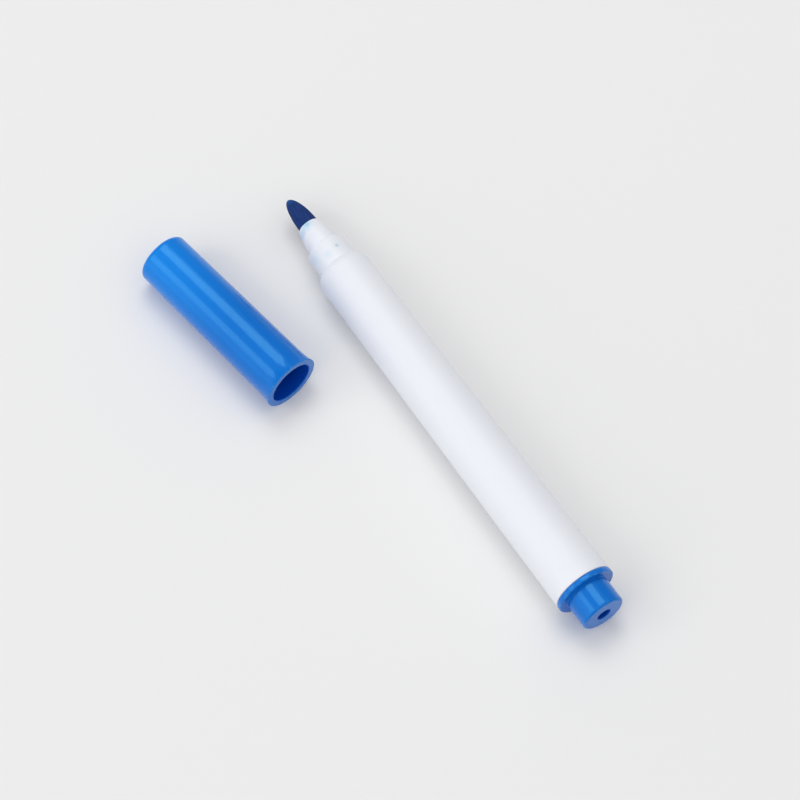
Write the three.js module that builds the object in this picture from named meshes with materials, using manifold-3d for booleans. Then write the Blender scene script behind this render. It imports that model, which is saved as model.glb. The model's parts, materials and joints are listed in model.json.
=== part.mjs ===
// Fabric marking pen: a fibre-tip marker lying on a table with its cap pulled off beside it.
// Millimetres, +Z up, table at z = 0. The pen lies along X with its nib towards +X,
// and the cap lies on its +Y side with its mouth towards -X.
// Every piece of the pen is drawn along an axis x that starts at the barrel's tail end.

import * as THREE from "three";
import { mergeVertices } from "three/addons/utils/BufferGeometryUtils.js";
import Module from "manifold-3d";

const wasm = await Module();
wasm.setup();

// Driving dimensions

const FACETS = 40; // sides of every turned piece, even, so that a corner points straight down
const ARC_STEPS = 4; // chords in every rounded edge
const SLIP = 0.04; // clearance between pieces that are pushed together
const END_GAP = 0.3; // clearance where a piece stops short of its neighbour
const MERGE_DISTANCE = 1e-4; // corners nearer than this are one corner

const BARREL = {
  length: 81.7, // tail end to the front of the shoulder
  tailRadius: 6.05,
  frontRadius: 5.43,
  shoulder: 2.2,
  shoulderPower: 1.3, // 1 is a quarter of an ellipse, and more is a flatter front
  shoulderSteps: 8,
  wall: 0.95,
  tailEdge: 0.15,
};
// The stage in front of the shoulder that the cap grips.
const SEAT = { length: 5.15, rearRadius: 4.15, frontRadius: 4.0, edge: 0.75, wall: 1.1 };
// The sleeve in front of the seat that holds the nib: nearly straight, then a cone.
const COLLAR = {
  length: 5.65,
  rearRadius: 3.08,
  waistRadius: 3.0,
  coneLength: 2.9,
  mouthRadius: 2.26,
  edge: 0.12,
  edgeTurn: 60, // degrees that the cone's front edge rounds through
};
// Ribs moulded inside the barrel, which centre the reservoir. The root is sunk in the wall.
const RIB = { count: 4, width: 0.8, depth: 0.62, root: 0.475, start: 9, end: 72 };

const NIB = {
  radius: 2.05,
  bulletLength: 7.0,
  bulletSteps: 10,
  shankRadius: 1.45,
  shankEdge: 0.4,
};
const CORE = { radius: 3.6, start: 7.4, end: 73.6, socketDepth: 7 };
const WRAP = { thickness: 0.12, overhang: 0.15 };

const PLUG = {
  flangeRadius: 6.1,
  flangeLength: 1.1,
  flangeEdge: 0.28,
  stubRadius: 4.44,
  stubLength: 5.56,
  stubEdge: 0.5,
  endWall: 1.4,
  hollowRadius: 3.1,
  hollowTaper: 1.1,
  ventRadius: 1.4,
  skirtLength: 6.4,
  skirtWall: 0.9,
  skirtEdge: 0.3,
};

// One moulding: a tube closed at its far end, with a flared lip round its mouth.
const CAP = {
  length: 37.6,
  mouthRadius: 5.58,
  closedRadius: 5.35,
  closedEdge: 0.95,
  lipRadius: 5.95,
  lipLength: 3.0,
  lipHollow: 0.07,
  lipEdge: 0.25,
  boreRadius: 4.5,
  boreEndRadius: 4.05,
  boreEdge: 0.2,
  endWall: 1.2,
  beadAt: 4.2,
  beadHeight: 0.3,
  beadLength: 1.6,
  beadSlope: 0.4,
};
// Where the cap lies: its mouth's centre seen from the barrel's tail end, and its turn about Z.
const CAP_PLACE = { x: 65.95, y: 21.65, yaw: THREE.MathUtils.degToRad(8.65) };

const whitePlastic = { color: 0xe8ebf1, roughness: 0.38, metalness: 0 };
const bluePlastic = { color: 0x0f6cd0, roughness: 0.3, metalness: 0 };
const inkedFelt = { color: 0x16386e, roughness: 0.85, metalness: 0 };
const inkedFibre = { color: 0x2a6fc4, roughness: 0.95, metalness: 0 };
const clearFilm = { color: 0xd9e6f5, roughness: 0.2, metalness: 0 };

// Geometry helpers

// A solid of revolution about +X. The outline is a closed loop of [x, r] points,
// and where it touches the axis it does so at exactly two neighbouring points.
function turned(outline) {
  const profile = outline.map(([x, r]) => new THREE.Vector2(r, x));
  if (THREE.ShapeUtils.area(profile) < 0) profile.reverse();
  const touchesAxis = profile.some((point) => point.x === 0);
  if (touchesAxis) {
    while (profile[0].x !== 0 || profile.at(-1).x !== 0) profile.push(profile.shift());
  } else {
    profile.push(profile[0].clone());
  }
  return new THREE.LatheGeometry(profile, FACETS).rotateZ(-Math.PI / 2);
}

// Points round a corner, about the centre [x, r], between two directions in degrees.
function arc(x, r, radius, fromDegrees, toDegrees) {
  const points = [];
  for (let i = 0; i <= ARC_STEPS; i++) {
    const share = i / ARC_STEPS;
    const angle = THREE.MathUtils.degToRad(fromDegrees + (toDegrees - fromDegrees) * share);
    points.push([x + radius * Math.cos(angle), r + radius * Math.sin(angle)]);
  }
  return points;
}

function solidOf(geometry) {
  const bare = geometry.clone();
  bare.deleteAttribute("normal");
  bare.deleteAttribute("uv");
  const merged = mergeVertices(bare, MERGE_DISTANCE);
  const mesh = new wasm.Mesh({
    numProp: 3,
    vertProperties: new Float32Array(merged.attributes.position.array),
    triVerts: new Uint32Array(merged.index.array),
  });
  return new wasm.Manifold(mesh);
}

function geometryOf(solid) {
  const mesh = solid.getMesh();
  const geometry = new THREE.BufferGeometry();
  geometry.setAttribute("position", new THREE.BufferAttribute(mesh.vertProperties, 3));
  geometry.setIndex(new THREE.BufferAttribute(mesh.triVerts, 1));
  geometry.computeVertexNormals();
  return geometry;
}

function piece(name, geometry, finish) {
  const mesh = new THREE.Mesh(geometry, new THREE.MeshStandardMaterial(finish));
  mesh.name = name;
  return mesh;
}

// Places that more than one piece needs

const seatEnd = BARREL.length + SEAT.length;
const collarEnd = seatEnd + COLLAR.length;
const shankStart = CORE.end - CORE.socketDepth + END_GAP;
const nibBoreRadius = NIB.radius + SLIP;
const tailBoreRadius = BARREL.tailRadius - BARREL.wall;
const frontBoreRadius = BARREL.frontRadius - BARREL.wall;

// The barrel's inside radius at a distance x from its tail end.
function boreRadiusAt(x) {
  return THREE.MathUtils.lerp(tailBoreRadius, frontBoreRadius, x / (BARREL.length - BARREL.shoulder));
}

// Sub-parts

// The rounded shoulder falls from the barrel's radius to the seat's.
function shoulderPoints() {
  const start = BARREL.length - BARREL.shoulder;
  const drop = BARREL.frontRadius - SEAT.rearRadius;
  const points = [];
  for (let i = 0; i <= BARREL.shoulderSteps; i++) {
    const angle = (i / BARREL.shoulderSteps) * (Math.PI / 2);
    const fall = drop * Math.cos(angle) ** BARREL.shoulderPower;
    points.push([start + BARREL.shoulder * Math.sin(angle), SEAT.rearRadius + fall]);
  }
  return points;
}

function barrelGeometry() {
  const seatBoreRadius = SEAT.rearRadius - SEAT.wall;
  const mouthCentre = COLLAR.mouthRadius - COLLAR.edge;
  const shell = turned([
    [0, tailBoreRadius],
    [0, BARREL.tailRadius - BARREL.tailEdge],
    [BARREL.tailEdge, BARREL.tailRadius],
    ...shoulderPoints(),
    ...arc(seatEnd - SEAT.edge, SEAT.frontRadius - SEAT.edge, SEAT.edge, 90, 0),
    [seatEnd, COLLAR.rearRadius],
    [collarEnd - COLLAR.coneLength, COLLAR.waistRadius],
    ...arc(collarEnd - COLLAR.edge, mouthCentre, COLLAR.edge, COLLAR.edgeTurn, 0),
    [collarEnd, nibBoreRadius],
    [seatEnd, nibBoreRadius],
    [seatEnd - SEAT.wall, seatBoreRadius],
    [BARREL.length, seatBoreRadius],
    [BARREL.length - BARREL.shoulder, frontBoreRadius],
  ]);
  const length = RIB.end - RIB.start;
  const outerRadius = boreRadiusAt(RIB.start) + RIB.root;
  let solid = solidOf(shell);
  const trimmer = solidOf(
    turned([
      [RIB.start, boreRadiusAt(RIB.start) - RIB.depth],
      [RIB.start, outerRadius],
      [RIB.end, boreRadiusAt(RIB.end) + RIB.root],
      [RIB.end, boreRadiusAt(RIB.end) - RIB.depth],
    ]),
  );
  for (let i = 0; i < RIB.count; i++) {
    const bar = new THREE.BoxGeometry(length, RIB.width, outerRadius)
      .translate(RIB.start + length / 2, 0, outerRadius / 2)
      .rotateX((Math.PI * (2 * i + 1)) / RIB.count);
    solid = solid.add(solidOf(bar).intersect(trimmer));
  }
  return geometryOf(solid);
}

// A half ellipse in front of the collar, and a thinner shank pushed into the reservoir.
function nibGeometry() {
  const bullet = [];
  for (let i = 0; i < NIB.bulletSteps; i++) {
    const angle = (i / NIB.bulletSteps) * (Math.PI / 2);
    bullet.push([collarEnd + NIB.bulletLength * Math.sin(angle), NIB.radius * Math.cos(angle)]);
  }
  return turned([
    [shankStart, 0],
    [shankStart, NIB.shankRadius - NIB.shankEdge],
    [shankStart + NIB.shankEdge, NIB.shankRadius],
    [CORE.end + END_GAP, NIB.shankRadius],
    [CORE.end + 2 * END_GAP, NIB.radius],
    ...bullet,
    [collarEnd + NIB.bulletLength, 0],
  ]);
}

function reservoirCoreGeometry() {
  const socketRadius = NIB.shankRadius + SLIP;
  return turned([
    [CORE.start, 0],
    [CORE.start, CORE.radius],
    [CORE.end, CORE.radius],
    [CORE.end, socketRadius],
    [CORE.end - CORE.socketDepth, socketRadius],
    [CORE.end - CORE.socketDepth, 0],
  ]);
}

function reservoirWrapGeometry() {
  const inner = CORE.radius + SLIP;
  const outer = inner + WRAP.thickness;
  return turned([
    [CORE.start - WRAP.overhang, inner],
    [CORE.start - WRAP.overhang, outer],
    [CORE.end + WRAP.overhang, outer],
    [CORE.end + WRAP.overhang, inner],
  ]);
}

// Flange against the barrel's tail end, a stub behind it and a hollow skirt inside.
function endPlugGeometry() {
  const flangeEnd = -SLIP - PLUG.flangeLength;
  const stubEnd = flangeEnd - PLUG.stubLength;
  const skirtRadius = boreRadiusAt(PLUG.skirtLength) - SLIP;
  const skirtBore = skirtRadius - PLUG.skirtWall;
  return turned([
    ...arc(-SLIP - PLUG.flangeEdge, PLUG.flangeRadius - PLUG.flangeEdge, PLUG.flangeEdge, 0, 90),
    ...arc(flangeEnd + PLUG.flangeEdge, PLUG.flangeRadius - PLUG.flangeEdge, PLUG.flangeEdge, 90, 180),
    [flangeEnd, PLUG.stubRadius],
    ...arc(stubEnd + PLUG.stubEdge, PLUG.stubRadius - PLUG.stubEdge, PLUG.stubEdge, 90, 180),
    [stubEnd, PLUG.ventRadius],
    [stubEnd + PLUG.endWall, PLUG.ventRadius],
    [stubEnd + PLUG.endWall, PLUG.hollowRadius],
    [0, PLUG.hollowRadius],
    [PLUG.hollowTaper, skirtBore],
    [PLUG.skirtLength, skirtBore],
    [PLUG.skirtLength, skirtRadius - PLUG.skirtEdge],
    [PLUG.skirtLength - PLUG.skirtEdge, skirtRadius],
    [-SLIP, skirtRadius],
  ]);
}

// Drawn along its own axis, with the mouth at x = 0 and the closed end at x = CAP.length.
function capGeometry() {
  const boreEnd = CAP.length - CAP.endWall;
  const boreSlope = (CAP.boreEndRadius - CAP.boreRadius) / boreEnd;
  const boreAt = (x) => CAP.boreRadius + boreSlope * x;
  const beadEnd = CAP.beadAt + CAP.beadLength;
  return turned([
    [0, CAP.boreRadius + CAP.boreEdge],
    ...arc(CAP.lipEdge, CAP.lipRadius - CAP.lipEdge, CAP.lipEdge, 180, 90),
    [CAP.lipLength / 2, (CAP.lipRadius + CAP.mouthRadius) / 2 - CAP.lipHollow],
    [CAP.lipLength, CAP.mouthRadius],
    ...arc(CAP.length - CAP.closedEdge, CAP.closedRadius - CAP.closedEdge, CAP.closedEdge, 90, 0),
    [CAP.length, 0],
    [boreEnd, 0],
    [boreEnd, CAP.boreEndRadius],
    [beadEnd, boreAt(beadEnd)],
    [beadEnd - CAP.beadSlope, boreAt(beadEnd) - CAP.beadHeight],
    [CAP.beadAt + CAP.beadSlope, boreAt(CAP.beadAt) - CAP.beadHeight],
    [CAP.beadAt, boreAt(CAP.beadAt)],
    [CAP.boreEdge, CAP.boreRadius],
  ]);
}

// Assembly

// The pen rests on its flange and on the front of its tapered barrel, so its nose dips a little.
const pen = new THREE.Group();
pen.add(
  piece("barrel", barrelGeometry(), whitePlastic),
  piece("nib", nibGeometry(), inkedFelt),
  piece("reservoir_core", reservoirCoreGeometry(), inkedFibre),
  piece("reservoir_wrap", reservoirWrapGeometry(), clearFilm),
  piece("end_plug", endPlugGeometry(), bluePlastic),
);
pen.position.z = PLUG.flangeRadius;
pen.rotation.y = Math.atan2(PLUG.flangeRadius - BARREL.frontRadius, BARREL.length - BARREL.shoulder);

// The cap rests on its lip and on the rim of its closed end.
const cap = new THREE.Group();
cap.add(piece("cap", capGeometry(), bluePlastic));
cap.position.set(CAP_PLACE.x, CAP_PLACE.y, CAP.lipRadius);
cap.rotation.order = "ZYX";
cap.rotation.z = CAP_PLACE.yaw;
cap.rotation.y = Math.atan2(CAP.lipRadius - CAP.closedRadius, CAP.length - CAP.closedEdge);

// The whole is set down with the middle of its footprint at the origin.
const set = new THREE.Group();
set.add(pen, cap);
set.updateMatrixWorld(true);
const extent = new THREE.Box3().setFromObject(set, true);
const middle = extent.getCenter(new THREE.Vector3());
set.position.set(-middle.x, -middle.y, -extent.min.z);

export default set;
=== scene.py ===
import json
import math

import bmesh
import bpy
from mathutils import Matrix, Vector


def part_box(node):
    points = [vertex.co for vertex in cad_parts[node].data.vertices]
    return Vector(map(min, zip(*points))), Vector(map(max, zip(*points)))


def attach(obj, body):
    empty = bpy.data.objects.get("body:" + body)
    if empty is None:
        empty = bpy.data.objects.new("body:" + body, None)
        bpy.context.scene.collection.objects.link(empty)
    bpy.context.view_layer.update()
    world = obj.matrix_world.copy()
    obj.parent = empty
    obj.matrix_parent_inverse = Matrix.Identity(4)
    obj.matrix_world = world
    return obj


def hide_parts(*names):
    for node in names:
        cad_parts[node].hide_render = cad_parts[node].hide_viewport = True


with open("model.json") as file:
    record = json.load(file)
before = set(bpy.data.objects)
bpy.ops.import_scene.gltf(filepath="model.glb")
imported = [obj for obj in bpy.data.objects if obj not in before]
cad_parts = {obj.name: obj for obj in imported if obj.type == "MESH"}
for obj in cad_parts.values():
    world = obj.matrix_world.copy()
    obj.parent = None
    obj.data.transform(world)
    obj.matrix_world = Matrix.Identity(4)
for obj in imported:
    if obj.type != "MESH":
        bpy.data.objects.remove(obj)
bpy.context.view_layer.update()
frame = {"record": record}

# A fibre-tip fabric marker lying on a pale table, with its cap pulled off beside it.
# Outlines are in millimetres, along the pen's axis from the barrel's tail end, or along the cap's
# axis from its mouth. The frame gives where the two axes lie.

mm = 0.001
mounts = {m["name"]: m for m in frame["record"]["mounts"]}

penSize = dict(tailToStubEnd=6.70)
capSize = dict(length=37.6)


def axisMatrix(origin, direction):
    # local X runs along the piece, local Y stays level
    along = Vector(direction).normalized()
    level = Vector((-along.y, along.x, 0)).normalized()
    up = along.cross(level)
    turn = Matrix((along, level, up)).transposed().to_4x4()
    return Matrix.Translation(origin) @ turn


def placePen():
    stub = mounts["stub_end"]
    direction = -Vector(stub["axis"])
    low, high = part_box("barrel")
    onAxis = Vector(stub["pos_m"])
    onAxis.y = (low.y + high.y) / 2
    return axisMatrix(onAxis + direction * penSize["tailToStubEnd"] * mm, direction)


def placeCap():
    closed = mounts["cap_closed_end"]
    direction = Vector(closed["axis"])
    return axisMatrix(Vector(closed["pos_m"]) - direction * capSize["length"] * mm, direction)


penPlace = placePen()
capPlace = placeCap()
print("places read from the frame")


rounding = dict(steps=6, ringGap=0.07, reachLimit=0.45, ringLimit=0.48)


def fillet(before, corner, after, radius):
    # points that round one corner, with a close ring at each end so that the flats shade flat;
    # the limits are shares of the way to the next corner
    f = rounding
    p = Vector(corner)
    a = Vector(before) - p
    b = Vector(after) - p
    roomA, roomB = a.length, b.length
    a.normalize()
    b.normalize()
    half = math.acos(max(-1.0, min(1.0, a.dot(b)))) / 2
    reach = min(radius / math.tan(half), f["reachLimit"] * roomA, f["reachLimit"] * roomB)
    radius = reach * math.tan(half)
    centre = p + (a + b).normalized() * radius / math.sin(half)
    start, end = p + a * reach - centre, p + b * reach - centre
    turnBy = start.angle_signed(end)
    points = [p + a * min(reach + f["ringGap"], f["ringLimit"] * roomA)]
    for i in range(f["steps"] + 1):
        t = -turnBy * i / f["steps"]
        c, s = math.cos(t), math.sin(t)
        points.append(centre + Vector((start.x * c - start.y * s, start.x * s + start.y * c)))
    points.append(p + b * min(reach + f["ringGap"], f["ringLimit"] * roomB))
    return points


def outline(corners, closed=True):
    # corners are (x, r) or (x, r, rounding); closed joins the last corner to the first
    points = []
    for i, corner in enumerate(corners):
        if len(corner) == 2:
            points.append(Vector(corner))
            continue
        before, after = corners[i - 1], corners[(i + 1) % len(corners)]
        points += fillet(before[:2], corner[:2], after[:2], corner[2])
    if closed:
        points.append(points[0].copy())
    return points


# Small helpers for every node tree


def link(tree, source, target):
    tree.links.new(source, target)


def addNode(tree, kind, values=None, **settings):
    node = tree.nodes.new(kind)
    for name, setting in settings.items():
        setattr(node, name, setting)
    for label, value in (values or {}).items():
        if isinstance(value, bpy.types.NodeSocket):
            link(tree, value, node.inputs[label])
        else:
            node.inputs[label].default_value = value
    return node


def addMath(tree, operation, a, b=None, clamp=False):
    node = addNode(tree, "ShaderNodeMath", operation=operation, use_clamp=clamp)
    for socket, value in zip(node.inputs, (a, b)):
        if isinstance(value, (int, float)):
            socket.default_value = value
        elif value is not None:
            link(tree, value, socket)
    return node.outputs[0]


def fadeBetween(tree, value, low, high):
    # 0 at low and 1 at high, with soft ends; low may be above high
    bounds = {"Value": value, "From Min": low, "From Max": high}
    return addNode(tree, "ShaderNodeMapRange", bounds, interpolation_type="SMOOTHSTEP").outputs["Result"]


# where a colour mix keeps its sockets
mixSockets = dict(share=0, first=6, second=7, result=2)


def mixColour(tree, share, first, second):
    node = addNode(tree, "ShaderNodeMix", data_type="RGBA")
    for label, value in (("share", share), ("first", first), ("second", second)):
        socket = node.inputs[mixSockets[label]]
        if isinstance(value, bpy.types.NodeSocket):
            link(tree, value, socket)
        elif label == "share":
            socket.default_value = value
        else:
            socket.default_value = (*value, 1)
    return node.outputs[mixSockets["result"]]


def paintOver(tree, colour, mask, strength, paint):
    # one colour laid over another where the mask is, at the strength given
    return mixColour(tree, addMath(tree, "MULTIPLY", mask, strength), colour, paint)


def addNoise(tree, vector, scale, detail, seed):
    values = {"Vector": vector, "Scale": scale, "W": seed, "Detail": detail}
    return addNode(tree, "ShaderNodeTexNoise", values, noise_dimensions="4D").outputs[0]


def squeezeAlong(tree, vector, stretch):
    # shortens X, so that a noise read from it makes streaks along X
    where = addNode(tree, "ShaderNodeSeparateXYZ", {"Vector": vector}).outputs
    squeezed = addNode(tree, "ShaderNodeCombineXYZ", {
        "X": addMath(tree, "DIVIDE", where["X"], stretch),
        "Y": where["Y"],
        "Z": where["Z"],
    })
    return squeezed.outputs["Vector"]


def newTree(name, kind, inputs, outputs):
    tree = bpy.data.node_groups.new(name, kind)
    for direction, sockets in (("INPUT", inputs), ("OUTPUT", outputs)):
        for label, socketKind in sockets:
            tree.interface.new_socket(name=label, in_out=direction, socket_type="NodeSocket" + socketKind)
    entry = tree.nodes.new("NodeGroupInput")
    leave = tree.nodes.new("NodeGroupOutput")
    return tree, entry.outputs, leave.inputs


def newShapeTree(name, inputs):
    shape = [("Geometry", "Geometry")]
    return newTree(name, "GeometryNodeTree", shape + inputs + [("Material", "Material")], shape)


def finishTree(tree, geometry, material, target):
    realize = addNode(tree, "GeometryNodeRealizeInstances", {"Geometry": geometry})
    values = {"Geometry": realize.outputs["Geometry"], "Material": material}
    paint = addNode(tree, "GeometryNodeSetMaterial", values)
    link(tree, paint.outputs["Geometry"], target)


def makeLatheTree():
    # turns a chain of (x, r) points round the X axis, one row of vertices for each point
    tree, given, out = newShapeTree("latheProfile", [("Sides", "Int"), ("Weld", "Float")])
    count = addNode(tree, "GeometryNodeAttributeDomainSize", {"Geometry": given["Geometry"]})
    columns = addMath(tree, "ADD", given["Sides"], 1)
    grid = addNode(tree, "GeometryNodeMeshGrid", {
        "Vertices X": count.outputs["Point Count"],
        "Vertices Y": columns,
    })
    index = addNode(tree, "GeometryNodeInputIndex").outputs["Index"]
    row = addMath(tree, "FLOOR", addMath(tree, "DIVIDE", addMath(tree, "ADD", index, 0.5), columns))
    column = addMath(tree, "SUBTRACT", index, addMath(tree, "MULTIPLY", row, columns))
    position = addNode(tree, "GeometryNodeInputPosition").outputs["Position"]
    sample = addNode(tree, "GeometryNodeSampleIndex", data_type="FLOAT_VECTOR")
    link(tree, given["Geometry"], sample.inputs["Geometry"])
    link(tree, position, sample.inputs["Value"])
    link(tree, row, sample.inputs["Index"])
    point = addNode(tree, "ShaderNodeSeparateXYZ", {"Vector": sample.outputs["Value"]}).outputs
    angle = addMath(tree, "DIVIDE", addMath(tree, "MULTIPLY", column, 2 * math.pi), given["Sides"])
    place = addNode(tree, "ShaderNodeCombineXYZ", {
        "X": point["X"],
        "Y": addMath(tree, "MULTIPLY", point["Y"], addMath(tree, "SINE", angle)),
        "Z": addMath(tree, "MULTIPLY", point["Y"], addMath(tree, "COSINE", angle)),
    })
    move = addNode(tree, "GeometryNodeSetPosition", {
        "Geometry": grid.outputs["Mesh"],
        "Position": place.outputs["Vector"],
    })
    weld = addNode(tree, "GeometryNodeMergeByDistance", {
        "Geometry": move.outputs["Geometry"],
        "Distance": given["Weld"],
    })
    smooth = addNode(tree, "GeometryNodeSetShadeSmooth", {"Geometry": weld.outputs["Geometry"]})
    finishTree(tree, smooth.outputs["Geometry"], given["Material"], out["Geometry"])
    return tree


def makeRibTree():
    # long bars set round the X axis, standing inwards from the barrel's inner wall
    sizes = ["Length", "Width", "Depth", "Start", "Radius", "Slope"]
    inputs = [("Count", "Int")] + [(label, "Float") for label in sizes]
    tree, given, out = newShapeTree("wallRibs", inputs)
    size = addNode(tree, "ShaderNodeCombineXYZ", {
        "X": given["Length"],
        "Y": given["Width"],
        "Z": given["Depth"],
    })
    bar = addNode(tree, "GeometryNodeMeshCube", {"Size": size.outputs["Vector"]})
    offset = addNode(tree, "ShaderNodeCombineXYZ", {
        "X": addMath(tree, "ADD", given["Start"], addMath(tree, "MULTIPLY", given["Length"], 0.5)),
        "Z": addMath(tree, "SUBTRACT", given["Radius"], addMath(tree, "MULTIPLY", given["Depth"], 0.5)),
    })
    tilt = addNode(tree, "ShaderNodeCombineXYZ", {"Y": given["Slope"]})
    shift = addNode(tree, "GeometryNodeTransform", {
        "Geometry": bar.outputs["Mesh"],
        "Translation": offset.outputs["Vector"],
        "Rotation": tilt.outputs["Vector"],
    })
    line = addNode(tree, "GeometryNodeMeshLine", {"Count": given["Count"], "Offset": (0, 0, 0)})
    index = addNode(tree, "GeometryNodeInputIndex").outputs["Index"]
    share = addMath(tree, "DIVIDE", addMath(tree, "ADD", index, 0.5), given["Count"])
    turn = addNode(tree, "ShaderNodeCombineXYZ", {"X": addMath(tree, "MULTIPLY", share, 2 * math.pi)})
    bars = addNode(tree, "GeometryNodeInstanceOnPoints", {
        "Points": line.outputs["Mesh"],
        "Instance": shift.outputs["Geometry"],
        "Rotation": turn.outputs["Vector"],
    })
    finishTree(tree, bars.outputs["Instances"], given["Material"], out["Geometry"])
    return tree


fibreValues = dict(reliefDetail=2, streakDetail=4, streakFrom=0.3, streakTo=0.7)


def makeFibreTree():
    # lifts and sinks a surface in streaks along X, as drawn and bonded fibres do
    sizes = ["Depth", "Fineness", "Stretch", "Seed"]
    tree, given, out = newShapeTree("fibreRelief", [(label, "Float") for label in sizes])
    position = addNode(tree, "GeometryNodeInputPosition").outputs["Position"]
    squeezed = squeezeAlong(tree, position, given["Stretch"])
    noise = addNoise(tree, squeezed, given["Fineness"], fibreValues["reliefDetail"], given["Seed"])
    lift = addMath(tree, "MULTIPLY", addMath(tree, "SUBTRACT", noise, 0.5), given["Depth"])
    normal = addNode(tree, "GeometryNodeInputNormal").outputs["Normal"]
    scaled = addNode(tree, "ShaderNodeVectorMath", {"Vector": normal, "Scale": lift}, operation="SCALE")
    move = addNode(tree, "GeometryNodeSetPosition", {
        "Geometry": given["Geometry"],
        "Offset": scaled.outputs["Vector"],
    })
    finishTree(tree, move.outputs["Geometry"], given["Material"], out["Geometry"])
    return tree


latheTree = makeLatheTree()
ribTree = makeRibTree()
fibreTree = makeFibreTree()
print("shape trees ready")


def runTree(base, tree, values):
    # the finished mesh of one object under one tree
    modifier = base.modifiers.new(tree.name, "NODES")
    modifier.node_group = tree
    for item in tree.interface.items_tree:
        if item.in_out == "INPUT" and item.name in values:
            modifier[item.identifier] = values[item.name]
    graph = bpy.context.evaluated_depsgraph_get()
    graph.update()
    mesh = bpy.data.meshes.new_from_object(base.evaluated_get(graph))
    base.modifiers.remove(modifier)
    return mesh


def tempObject(mesh):
    base = bpy.data.objects.new("blank", mesh)
    bpy.context.scene.collection.objects.link(base)
    return base


weldDistance = 1e-6


def turnMesh(points, sides, material):
    # the closed mesh that an outline in millimetres makes when it is turned round X
    chain = bpy.data.meshes.new("chain")
    links = [(i, i + 1) for i in range(len(points) - 1)]
    chain.from_pydata([(p.x * mm, p.y * mm, 0) for p in points], links, [])
    base = tempObject(chain)
    mesh = runTree(base, latheTree, {"Sides": sides, "Weld": weldDistance, "Material": material})
    bpy.data.objects.remove(base)
    faceOut(mesh)
    return mesh


def faceOut(mesh):
    shell = bmesh.new()
    shell.from_mesh(mesh)
    bmesh.ops.recalc_face_normals(shell, faces=shell.faces)
    if shell.calc_volume(signed=True) < 0:
        bmesh.ops.reverse_faces(shell, faces=shell.faces)
    shell.to_mesh(mesh)
    shell.free()


def joinMeshes(meshes):
    shell = bmesh.new()
    for mesh in meshes:
        shell.from_mesh(mesh)
    joined = meshes[0].copy()
    shell.to_mesh(joined)
    shell.free()
    return joined


def addPiece(name, mesh, place, body, node):
    mesh.transform(place)
    mesh.name = name
    piece = bpy.data.objects.new(name, mesh)
    bpy.context.scene.collection.objects.link(piece)
    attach(piece, body)
    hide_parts(node)
    print("made", name, len(mesh.polygons), "faces")


# Surface effects, each a node group that the materials place with their own values


skinValues = dict(
    peelDetail=2, mottleDetail=4, scratchDetail=3, scratchScale=95, scratchFrom=0.66, scratchTo=0.72,
    scratchStretches=((1, 34, 34), (30, 2, 9)),
)


def makeSkinGroup():
    # moulded plastic: a faint orange peel, slow mottling and hairline scratches
    k = skinValues
    inputs = [("Vector", "Vector"), ("Peel Scale", "Float"), ("Mottle Scale", "Float"), ("Seed", "Float")]
    outputs = [("Peel", "Float"), ("Mottle", "Float"), ("Scratches", "Float")]
    tree, given, out = newTree("mouldedSkin", "ShaderNodeTree", inputs, outputs)
    vector, seed = given["Vector"], given["Seed"]
    link(tree, addNoise(tree, vector, given["Peel Scale"], k["peelDetail"], seed), out["Peel"])
    link(tree, addNoise(tree, vector, given["Mottle Scale"], k["mottleDetail"], seed), out["Mottle"])
    lines = []
    for stretch in k["scratchStretches"]:
        pulled = addNode(tree, "ShaderNodeVectorMath", {0: vector, 1: stretch}, operation="MULTIPLY")
        noise = addNoise(tree, pulled.outputs["Vector"], k["scratchScale"], k["scratchDetail"], seed)
        lines.append(fadeBetween(tree, noise, k["scratchFrom"], k["scratchTo"]))
    link(tree, addMath(tree, "MAXIMUM", *lines), out["Scratches"])
    return tree


def addRadius(tree, vector):
    # how far along and how far out from the X axis a point is
    where = addNode(tree, "ShaderNodeSeparateXYZ", {"Vector": vector}).outputs
    across = addNode(tree, "ShaderNodeCombineXYZ", {"Y": where["Y"], "Z": where["Z"]}).outputs["Vector"]
    reach = addNode(tree, "ShaderNodeVectorMath", {0: across}, operation="LENGTH")
    return where["X"], reach.outputs["Value"]


scuffValues = dict(scale=900, detail=4, patchFrom=0.42, patchTo=0.68)


def makeScuffGroup():
    # broken wear round one rim, whose place is given as its distance along the axis and its radius
    k = scuffValues
    inputs = [("Vector", "Vector"), ("Rim", "Vector"), ("Width", "Float"), ("Seed", "Float")]
    tree, given, out = newTree("rimScuffs", "ShaderNodeTree", inputs, [("Mask", "Float")])
    along, reach = addRadius(tree, given["Vector"])
    spot = addNode(tree, "ShaderNodeCombineXYZ", {"X": along, "Y": reach}).outputs["Vector"]
    away = addNode(tree, "ShaderNodeVectorMath", {0: spot, 1: given["Rim"]}, operation="DISTANCE")
    near = fadeBetween(tree, addMath(tree, "DIVIDE", away.outputs["Value"], given["Width"]), 1.0, 0.0)
    noise = addNoise(tree, given["Vector"], k["scale"], k["detail"], given["Seed"])
    patches = fadeBetween(tree, noise, k["patchFrom"], k["patchTo"])
    link(tree, addMath(tree, "MULTIPLY", near, patches), out["Mask"])
    return tree


def makePartingGroup():
    # the fine ridge where two mould halves met, on the level sides of a piece
    inputs = [("Vector", "Vector"), ("Width", "Float")]
    tree, given, out = newTree("partingLine", "ShaderNodeTree", inputs, [("Height", "Float")])
    upward = addNode(tree, "ShaderNodeSeparateXYZ", {"Vector": given["Vector"]}).outputs["Z"]
    share = addMath(tree, "DIVIDE", addMath(tree, "ABSOLUTE", upward), given["Width"])
    link(tree, fadeBetween(tree, share, 1.0, 0.0), out["Height"])
    return tree


inkValues = dict(scale=1400, detail=4, wobble=1.1)


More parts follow.
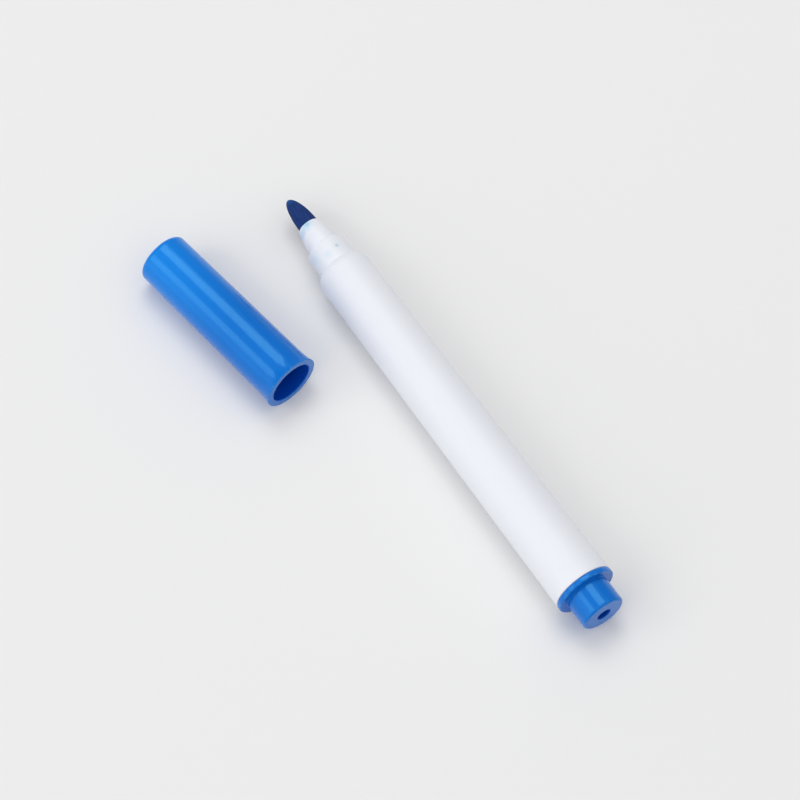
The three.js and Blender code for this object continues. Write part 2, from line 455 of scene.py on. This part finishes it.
def makeInkGroup():
    # one ragged ink mark round a centre
    k = inkValues
    inputs = [("Vector", "Vector"), ("Centre", "Vector"), ("Radius", "Float"), ("Blur", "Float")]
    tree, given, out = newTree("inkMark", "ShaderNodeTree", inputs, [("Mask", "Float")])
    ends = {0: given["Vector"], 1: given["Centre"]}
    gap = addNode(tree, "ShaderNodeVectorMath", ends, operation="DISTANCE").outputs["Value"]
    values = {"Vector": given["Vector"], "Scale": k["scale"], "Detail": k["detail"]}
    ragged = addNode(tree, "ShaderNodeTexNoise", values).outputs[0]
    wobble = addMath(tree, "MULTIPLY", addMath(tree, "SUBTRACT", ragged, 0.5), k["wobble"])
    share = addMath(tree, "ADD", addMath(tree, "DIVIDE", gap, given["Radius"]), wobble)
    inner = addMath(tree, "SUBTRACT", 1.0, given["Blur"])
    link(tree, fadeBetween(tree, share, addMath(tree, "ADD", 1.0, given["Blur"]), inner), out["Mask"])
    return tree


def makeFibreGroup():
    # streaks along the axis, from fibres drawn side by side
    inputs = [("Vector", "Vector"), ("Fineness", "Float"), ("Stretch", "Float"), ("Seed", "Float")]
    tree, given, out = newTree("drawnFibres", "ShaderNodeTree", inputs, [("Streaks", "Float")])
    squeezed = squeezeAlong(tree, given["Vector"], given["Stretch"])
    noise = addNoise(tree, squeezed, given["Fineness"], fibreValues["streakDetail"], given["Seed"])
    streaks = fadeBetween(tree, noise, fibreValues["streakFrom"], fibreValues["streakTo"])
    link(tree, streaks, out["Streaks"])
    return tree


skinGroup = makeSkinGroup()
scuffGroup = makeScuffGroup()
partingGroup = makePartingGroup()
inkGroup = makeInkGroup()
fibreGroup = makeFibreGroup()


def newMaterial(name):
    material = bpy.data.materials.new(name)
    material.use_nodes = True
    tree = material.node_tree
    return material, tree, tree.nodes["Principled BSDF"]


def pieceVector(tree, place):
    # object coordinates turned so that X runs along the pen or the cap, from where its outlines start
    spot = addNode(tree, "ShaderNodeTexCoord").outputs["Object"]
    values = {"Vector": spot, "Location": place.translation, "Rotation": place.to_euler()}
    return addNode(tree, "ShaderNodeMapping", values, vector_type="TEXTURE").outputs["Vector"]


def placeGroup(tree, group, values):
    # the outputs of one surface effect, placed with the values of a material
    return addNode(tree, "ShaderNodeGroup", values, node_tree=group).outputs


def bumpUp(tree, shader, height, distance):
    bump = addNode(tree, "ShaderNodeBump", {"Height": height, "Distance": distance * mm, "Strength": 1.0})
    link(tree, bump.outputs["Normal"], shader.inputs["Normal"])


def insideMask(tree, vector, bore):
    # 1 within a bore, where shade is painted; the bore has a radius and an end along the axis
    along, reach = addRadius(tree, vector)
    narrow = addMath(tree, "LESS_THAN", reach, bore["radius"] * mm)
    return addMath(tree, "MULTIPLY", narrow, addMath(tree, "LESS_THAN", along, bore["end"] * mm))


def makePlastic(name, place, v):
    material, tree, shader = newMaterial(name)
    vector = pieceVector(tree, place)
    skin = placeGroup(tree, skinGroup, {
        "Vector": vector, "Peel Scale": v["peelScale"], "Mottle Scale": v["mottleScale"], "Seed": v["seed"],
    })
    worn = 0.0
    for along, radius in v["rims"]:
        rim = (along * mm, radius * mm, 0)
        scuff = placeGroup(tree, scuffGroup, {
            "Vector": vector, "Rim": rim, "Width": v["rimWidth"] * mm, "Seed": v["seed"],
        })
        worn = addMath(tree, "MAXIMUM", worn, scuff["Mask"])
    colour = mixColour(tree, skin["Mottle"], v["shade"], v["colour"])
    if "paintedLitEnd" in v:
        # painted light: the colour is painted paler towards one end, standing in for light that shows through
        # the plastic there
        paintedLitEnd = v["paintedLitEnd"]
        along = addNode(tree, "ShaderNodeSeparateXYZ", {"Vector": vector}).outputs["X"]
        share = fadeBetween(tree, along, paintedLitEnd["start"] * mm, paintedLitEnd["end"] * mm)
        colour = paintOver(tree, colour, share, paintedLitEnd["share"], paintedLitEnd["colour"])
    if "bore" in v:
        # painted shade: the same plastic is painted darker inside a bore, where shade falls
        colour = mixColour(tree, insideMask(tree, vector, v["bore"]), colour, v["inside"])
    colour = paintOver(tree, colour, skin["Scratches"], v["scratch"], v["wornColour"])
    colour = paintOver(tree, colour, worn, v["wear"], v["wornColour"])
    for mark in v.get("marks", []):
        centre = [part * mm for part in mark["at"]]
        ink = placeGroup(tree, inkGroup, {
            "Vector": vector, "Centre": centre, "Radius": mark["radius"] * mm, "Blur": mark["blur"],
        })
        colour = paintOver(tree, colour, ink["Mask"], mark["strength"], mark["ink"])
    link(tree, colour, shader.inputs["Base Color"])
    rough = addMath(tree, "ADD", v["roughness"], addMath(tree, "MULTIPLY", skin["Mottle"], v["roughShift"]))
    rough = addMath(tree, "ADD", rough, addMath(tree, "MULTIPLY", worn, v["roughShift"]), clamp=True)
    link(tree, rough, shader.inputs["Roughness"])
    parting = placeGroup(tree, partingGroup, {"Vector": vector, "Width": v["partingWidth"] * mm})
    ridge = addMath(tree, "MULTIPLY", parting["Height"], v["partingRise"])
    grooves = addMath(tree, "MULTIPLY", skin["Scratches"], v["scratchSink"])
    height = addMath(tree, "SUBTRACT", addMath(tree, "ADD", skin["Peel"], ridge), grooves)
    bumpUp(tree, shader, height, v["relief"])
    shader.inputs["Specular IOR Level"].default_value = v["specular"]
    shader.inputs["Specular Tint"].default_value = (*v["specularTint"], 1)
    return material


def makeFibreFinish(name, place, v):
    material, tree, shader = newMaterial(name)
    vector = pieceVector(tree, place)
    fibre = placeGroup(tree, fibreGroup, {
        "Vector": vector, "Fineness": v["fineness"], "Stretch": v["stretch"], "Seed": v["seed"],
    })
    along = addNode(tree, "ShaderNodeSeparateXYZ", {"Vector": vector}).outputs["X"]
    # the front end takes a second colour: a painted sheen at the nib's tip, and a darker front on the
    # reservoir core
    tip = fadeBetween(tree, along, v["tipStart"] * mm, v["tipEnd"] * mm)
    colour = mixColour(tree, fibre["Streaks"], v["shade"], v["colour"])
    colour = paintOver(tree, colour, tip, v["tipInkAndSheenShare"], v["tipInkAndSheenColour"])
    link(tree, colour, shader.inputs["Base Color"])
    rough = addMath(tree, "ADD", v["roughness"], addMath(tree, "MULTIPLY", fibre["Streaks"], v["roughShift"]))
    link(tree, rough, shader.inputs["Roughness"])
    bumpUp(tree, shader, fibre["Streaks"], v["relief"])
    shader.inputs["Specular IOR Level"].default_value = v["specular"]
    return material


whiteMoulding = dict(
    colour=(0.845, 0.86, 0.91), shade=(0.815, 0.84, 0.90), wornColour=(0.74, 0.77, 0.83), seed=4.0,
    peelScale=2600, mottleScale=110, roughness=0.46, roughShift=0.08,
    scratch=0.22, scratchSink=0.5, wear=0.25,
    rims=((80.6, 5.2), (86.6, 3.8)), rimWidth=0.8, partingWidth=0.09, partingRise=2.2, relief=0.006,
    specular=0.35, specularTint=(1, 1, 1),
    marks=[
        dict(at=(92.0, 0.9, 2.1), radius=1.15, blur=0.8, strength=0.50, ink=(0.36, 0.68, 0.86)),
        dict(at=(92.1, 0.7, 2.2), radius=0.55, blur=0.7, strength=0.40, ink=(0.20, 0.46, 0.72)),
        dict(at=(91.0, 2.5, 0.9), radius=0.95, blur=0.8, strength=0.55, ink=(0.36, 0.62, 0.95)),
        dict(at=(84.9, 3.8, 1.6), radius=1.30, blur=0.9, strength=0.26, ink=(0.42, 0.72, 0.90)),
        dict(at=(83.6, 1.4, 4.0), radius=0.70, blur=0.8, strength=0.26, ink=(0.42, 0.74, 0.92)),
        dict(at=(84.2, -1.0, 3.9), radius=0.65, blur=0.9, strength=0.22, ink=(0.42, 0.72, 0.92)),
        dict(at=(84.2, -1.0, 3.9), radius=0.30, blur=0.6, strength=0.40, ink=(0.24, 0.36, 0.52)),
    ],
)
blueMoulding = dict(
    colour=(0.001, 0.160, 0.65), shade=(0.001, 0.142, 0.585), wornColour=(0.05, 0.30, 0.78), seed=9.0,
    peelScale=900, mottleScale=130, roughness=0.13, roughShift=0.06,
    scratch=0.16, scratchSink=0.5, wear=0.35,
    rimWidth=0.6, partingWidth=0.08, partingRise=2.0, relief=0.003,
    # the darker colour for inside a bore is painted shade
    specular=0.55, specularTint=(0.28, 0.85, 1.0), inside=(0.001, 0.07, 0.50),
)
# painted sheen: the nib is painted lighter at its tip
inkedFelt = makeFibreFinish("inkedFelt", penPlace, dict(
    colour=(0.012, 0.050, 0.215), shade=(0.007, 0.026, 0.125), tipInkAndSheenColour=(0.008, 0.10, 0.32), seed=3.0,
    fineness=3400, stretch=12, tipStart=97.6, tipEnd=99.4, tipInkAndSheenShare=0.75,
    roughness=0.72, roughShift=0.12, relief=0.03, specular=0.18,
))
inkedFibre = makeFibreFinish("inkedFibre", penPlace, dict(
    colour=(0.05, 0.24, 0.62), shade=(0.015, 0.10, 0.40), tipInkAndSheenColour=(0.01, 0.06, 0.28), seed=6.0,
    fineness=2600, stretch=40, tipStart=60.0, tipEnd=73.6, tipInkAndSheenShare=0.6,
    roughness=0.85, roughShift=0.1, relief=0.05, specular=0.2,
))
whitePlastic = makePlastic("whitePlastic", penPlace, whiteMoulding)
plugPlastic = makePlastic("plugPlastic", penPlace, dict(
    blueMoulding, rims=((-6.6, 4.3), (-1.1, 6.0), (-0.1, 6.0)), bore=dict(radius=1.55, end=7.0),
))
capPlastic = makePlastic("capPlastic", capPlace, dict(
    blueMoulding, rims=((0.1, 5.85), (37.3, 5.1)), bore=dict(radius=4.65, end=36.9), seed=12.0,
    # painted light: the cap is painted paler towards its closed end
    paintedLitEnd=dict(colour=(0.003, 0.225, 0.80), start=12, end=36, share=0.75),
))
clearFilm = makePlastic("clearFilm", penPlace, dict(
    whiteMoulding, colour=(0.80, 0.88, 0.95), shade=(0.74, 0.84, 0.93), roughness=0.14, specular=0.5,
    rims=((7.3, 3.7), (73.7, 3.7)), marks=[],
))
print("materials ready")

barrel = dict(
    sides=128, length=81.7, tailRadius=6.05, frontRadius=5.43, wall=0.95, tailInnerEdge=0.1, tailEdge=0.18,
    shoulder=2.2, shoulderPower=1.3, shoulderSteps=14, shoulderLead=0.5, leadRise=0.004, shoulderRound=0.8,
    seatLength=5.15, seatRear=4.15, seatFront=4.0, seatRoot=0.2, seatEdge=0.75,
    seatWall=1.1, seatBoreEdge=0.5, seatBoreRoot=0.3,
    collarLength=5.65, collarRear=3.08, collarRoot=0.35, collarWaist=3.0, waistRound=2.5, cone=2.9,
    collarMouth=2.26, mouthEdge=0.2, nibBore=2.09, nibBoreEdge=0.08, nibBoreRoot=0.1,
)
ribs = dict(count=4, width=0.8, depth=0.75, start=9.0, end=72.0, sink=0.12)


def boreAt(x):
    # the barrel's inside radius
    b = barrel
    share = x / (b["length"] - b["shoulder"])
    return b["tailRadius"] - b["wall"] + (b["frontRadius"] - b["tailRadius"]) * share


def shoulderCurve():
    b = barrel
    start = b["length"] - b["shoulder"]
    points = []
    for i in range(b["shoulderSteps"]):
        a = math.pi / 2 * i / b["shoulderSteps"]
        fall = (b["frontRadius"] - b["seatRear"]) * math.cos(a) ** b["shoulderPower"]
        points.append((start + b["shoulder"] * math.sin(a), b["seatRear"] + fall))
    return points


def makeBarrel():
    b = barrel
    seatEnd = b["length"] + b["seatLength"]
    collarEnd = seatEnd + b["collarLength"]
    seatBore = b["seatRear"] - b["seatWall"]
    shoulderStart = b["length"] - b["shoulder"]
    points = outline([
        (0, boreAt(0), b["tailInnerEdge"]),
        (0, b["tailRadius"], b["tailEdge"]),
        (shoulderStart - b["shoulderLead"], b["frontRadius"] + b["leadRise"]),
        *shoulderCurve(),
        (b["length"], b["seatRear"], b["seatRoot"]),
        (seatEnd, b["seatFront"], b["seatEdge"]),
        (seatEnd, b["collarRear"], b["collarRoot"]),
        (collarEnd - b["cone"], b["collarWaist"], b["waistRound"]),
        (collarEnd, b["collarMouth"], b["mouthEdge"]),
        (collarEnd, b["nibBore"], b["nibBoreEdge"]),
        (seatEnd, b["nibBore"], b["nibBoreRoot"]),
        (seatEnd - b["seatWall"], seatBore, b["seatBoreRoot"]),
        (b["length"], seatBore, b["seatBoreEdge"]),
        (shoulderStart, b["frontRadius"] - b["wall"], b["shoulderRound"]),
    ])
    shell = turnMesh(points, b["sides"], whitePlastic)
    r = ribs
    wallRadius = boreAt((r["start"] + r["end"]) / 2) + r["sink"]
    slope = math.atan2(boreAt(r["start"]) - boreAt(r["end"]), r["end"] - r["start"])
    base = tempObject(bpy.data.meshes.new("ribs"))
    bars = runTree(base, ribTree, {
        "Count": r["count"], "Length": (r["end"] - r["start"]) * mm, "Width": r["width"] * mm,
        "Depth": r["depth"] * mm, "Start": r["start"] * mm, "Radius": wallRadius * mm, "Slope": slope,
        "Material": whitePlastic,
    })
    bpy.data.objects.remove(base)
    faceOut(bars)
    addPiece("penBarrel", joinMeshes([shell, bars]), penPlace, "pen", "barrel")


makeBarrel()

nib = dict(
    sides=96, radius=2.05, base=92.5, bullet=7.0, rings=40,
    shank=1.45, shankStart=66.9, shankEnd=73.9, shankRound=0.4, step=0.3, stepRound=0.1,
    fibreDepth=0.05, fibreFineness=3800.0, fibreStretch=14.0, seed=3.0, lean=0.28,
)


def makeNib():
    n = nib
    bullet = []
    for i in range(n["rings"]):
        a = math.pi / 2 * i / n["rings"]
        bullet.append((n["base"] + n["bullet"] * math.sin(a), n["radius"] * math.cos(a)))
    points = outline([
        (n["shankStart"], 0),
        (n["shankStart"], n["shank"], n["shankRound"]),
        (n["shankEnd"], n["shank"], n["stepRound"]),
        (n["shankEnd"] + n["step"], n["radius"], n["stepRound"]),
        *bullet,
        (n["base"] + n["bullet"], 0),
    ], closed=False)
    base = tempObject(turnMesh(points, n["sides"], inkedFelt))
    mesh = runTree(base, fibreTree, {
        "Depth": n["fibreDepth"] * mm, "Fineness": n["fibreFineness"], "Stretch": n["fibreStretch"],
        "Seed": n["seed"], "Material": inkedFelt,
    })
    bpy.data.objects.remove(base)
    for vertex in mesh.vertices:
        # the tip has been pressed a little to one side
        share = max(0.0, vertex.co.x / mm - n["base"]) / n["bullet"]
        vertex.co.y += n["lean"] * mm * share ** 2
    addPiece("feltNib", mesh, penPlace, "pen", "nib")


makeNib()

core = dict(
    sides=72, radius=3.6, start=7.4, end=73.6, edge=0.15,
    socket=7.0, socketRadius=1.49, socketEdge=0.1, socketRoot=0.2,
)
wrap = dict(sides=72, inner=3.64, thickness=0.12, overhang=0.15, edge=0.03)


def makeReservoir():
    c = core
    points = outline([
        (c["start"], 0),
        (c["start"], c["radius"], c["edge"]),
        (c["end"], c["radius"], c["edge"]),
        (c["end"], c["socketRadius"], c["socketEdge"]),
        (c["end"] - c["socket"], c["socketRadius"], c["socketRoot"]),
        (c["end"] - c["socket"], 0),
    ], closed=False)
    mesh = turnMesh(points, c["sides"], inkedFibre)
    addPiece("reservoirCore", mesh, penPlace, "pen", "reservoir_core")
    w = wrap
    first, last = c["start"] - w["overhang"], c["end"] + w["overhang"]
    points = outline([
        (first, w["inner"], w["edge"]),
        (first, w["inner"] + w["thickness"], w["edge"]),
        (last, w["inner"] + w["thickness"], w["edge"]),
        (last, w["inner"], w["edge"]),
    ])
    mesh = turnMesh(points, w["sides"], clearFilm)
    addPiece("reservoirWrap", mesh, penPlace, "pen", "reservoir_wrap")


makeReservoir()

plug = dict(
    sides=128, gap=0.04, flangeRadius=6.1, flangeLength=1.1, flangeEdge=0.3,
    stubRadius=4.44, stubLength=5.56, stubRoot=0.1, stubEdge=0.5,
    ventRadius=1.4, ventEdge=0.2, ventInnerEdge=0.1, endWall=1.4,
    hollow=3.1, hollowRoot=0.4, hollowTaper=1.1, taperRound=0.3,
    skirtLength=6.4, skirtWall=0.9, skirtRoot=0.15, skirtInnerEdge=0.15, skirtEdge=0.35,
)


def makePlug():
    p = plug
    flangeEnd = -p["gap"] - p["flangeLength"]
    stubEnd = flangeEnd - p["stubLength"]
    skirt = boreAt(p["skirtLength"]) - p["gap"]
    points = outline([
        (-p["gap"], skirt, p["skirtRoot"]),
        (-p["gap"], p["flangeRadius"], p["flangeEdge"]),
        (flangeEnd, p["flangeRadius"], p["flangeEdge"]),
        (flangeEnd, p["stubRadius"], p["stubRoot"]),
        (stubEnd, p["stubRadius"], p["stubEdge"]),
        (stubEnd, p["ventRadius"], p["ventEdge"]),
        (stubEnd + p["endWall"], p["ventRadius"], p["ventInnerEdge"]),
        (stubEnd + p["endWall"], p["hollow"], p["hollowRoot"]),
        (0, p["hollow"], p["taperRound"]),
        (p["hollowTaper"], skirt - p["skirtWall"], p["taperRound"]),
        (p["skirtLength"], skirt - p["skirtWall"], p["skirtInnerEdge"]),
        (p["skirtLength"], skirt, p["skirtEdge"]),
    ])
    mesh = turnMesh(points, p["sides"], plugPlastic)
    addPiece("endPlug", mesh, penPlace, "pen", "end_plug")


makePlug()

cap = dict(
    sides=128, length=capSize["length"], mouthRadius=5.58, closedRadius=5.35, closedEdge=0.95,
    lipRadius=5.95, lipLength=3.0, lipEdge=0.22, flarePower=1.8, flareSteps=10,
    bore=4.5, boreEdge=0.2, boreEnd=4.05, boreEndRound=0.8, endWall=1.2,
    beadAt=4.2, beadLength=1.6, beadHeight=0.3, beadFoot=0.4, beadRound=0.3,
)


def flareCurve():
    # the lip opens out in one smooth hollow curve
    c = cap
    points = []
    for i in range(1, c["flareSteps"] + 1):
        share = i / c["flareSteps"]
        rise = (c["lipRadius"] - c["mouthRadius"]) * (1 - share) ** c["flarePower"]
        points.append((c["lipLength"] * share, c["mouthRadius"] + rise))
    return points


def capBore(x):
    # the cap's inside radius, which narrows evenly to the end of its bore
    c = cap
    return c["bore"] + (c["boreEnd"] - c["bore"]) * x / (c["length"] - c["endWall"])


def makeCap():
    c = cap
    floorAt = c["length"] - c["endWall"]
    beadEnd = c["beadAt"] + c["beadLength"]
    beadSlope = c["beadLength"] / 3
    points = outline([
        (0, c["bore"], c["boreEdge"]),
        (0, c["lipRadius"], c["lipEdge"]),
        *flareCurve(),
        (c["length"], c["closedRadius"], c["closedEdge"]),
        (c["length"], 0),
        (floorAt, 0),
        (floorAt, c["boreEnd"], c["boreEndRound"]),
        (beadEnd, capBore(beadEnd), c["beadFoot"]),
        (beadEnd - beadSlope, capBore(beadEnd) - c["beadHeight"], c["beadRound"]),
        (c["beadAt"] + beadSlope, capBore(c["beadAt"]) - c["beadHeight"], c["beadRound"]),
        (c["beadAt"], capBore(c["beadAt"]), c["beadFoot"]),
    ])
    # the loop is cut open where it touches the axis, so that the chain starts and ends there
    first = next(i for i, point in enumerate(points) if point.y == 0)
    loop = points[:-1]
    chain = loop[first + 1:] + loop[:first + 1]
    mesh = turnMesh(chain, c["sides"], capPlastic)
    addPiece("penCap", mesh, capPlace, "cap", "cap")


makeCap()


camera = dict(
    azimuth=145.9, elevation=64.25, distance=0.86288, aimX=5.2, aimY=-8.25,
    lens=202.5, nearest=0.01, farthest=10,
)
table = dict(size=6.0, colour=(0.85, 0.85, 0.85), roughness=0.9)
studio = dict(ambient=0.42, boxDistance=1.5)
softboxes = dict(
    overheadBox=dict(way=(0.36, -0.175, 0.916), size=0.78, power=4.9),
    leftBox=dict(way=(0.36, 0.70, 0.60), size=0.50, power=1.1),
    fillBox=dict(way=(0.05, 0.90, 0.44), size=1.6, power=7.5),
    topPanel=dict(way=(-0.1, -0.05, 1.0), size=3.0, power=12.5),
)


def towards(azimuth, elevation):
    a, e = math.radians(azimuth), math.radians(elevation)
    return Vector((math.cos(e) * math.cos(a), math.cos(e) * math.sin(a), math.sin(e)))


aim = Vector((camera["aimX"] * mm, camera["aimY"] * mm, 0))


def standAt(thing, way, distance):
    # stands a camera or lamp out along one way, looking back at the aim
    thing.location = aim + way * distance
    thing.rotation_mode = "QUATERNION"
    thing.rotation_quaternion = way.to_track_quat("Z", "Y")
    bpy.context.scene.collection.objects.link(thing)


def makeCamera():
    data = bpy.data.cameras.new("camera")
    data.lens = camera["lens"]
    data.clip_start = camera["nearest"]
    data.clip_end = camera["farthest"]
    eye = bpy.data.objects.new("camera", data)
    standAt(eye, towards(camera["azimuth"], camera["elevation"]), camera["distance"])
    bpy.context.scene.camera = eye


def makeTable():
    mesh = bpy.data.meshes.new("table")
    s = table["size"]
    mesh.from_pydata([(-s, -s, 0), (s, -s, 0), (s, s, 0), (-s, s, 0)], [], [(0, 1, 2, 3)])
    material, _, shader = newMaterial("tableCard")
    shader.inputs["Base Color"].default_value = (*table["colour"], 1)
    shader.inputs["Roughness"].default_value = table["roughness"]
    mesh.materials.append(material)
    top = bpy.data.objects.new("table", mesh)
    bpy.context.scene.collection.objects.link(top)


def makeSoftbox(name, box):
    # a square area lamp that faces the aim
    light = bpy.data.lights.new(name, "AREA")
    light.shape = "SQUARE"
    light.size = box["size"]
    light.energy = box["power"]
    standAt(bpy.data.objects.new(name, light), Vector(box["way"]).normalized(), studio["boxDistance"])


def makeAmbient():
    world = bpy.data.worlds.new("studio")
    world.use_nodes = True
    background = world.node_tree.nodes["Background"]
    background.inputs["Color"].default_value = (1, 1, 1, 1)
    background.inputs["Strength"].default_value = studio["ambient"]
    bpy.context.scene.world = world


def setColours():
    # plain display colours, with no film curve
    bpy.context.scene.view_settings.view_transform = "Standard"


makeCamera()
makeTable()
for boxName, box in softboxes.items():
    makeSoftbox(boxName, box)
makeAmbient()
setColours()
print("camera, table and light ready")
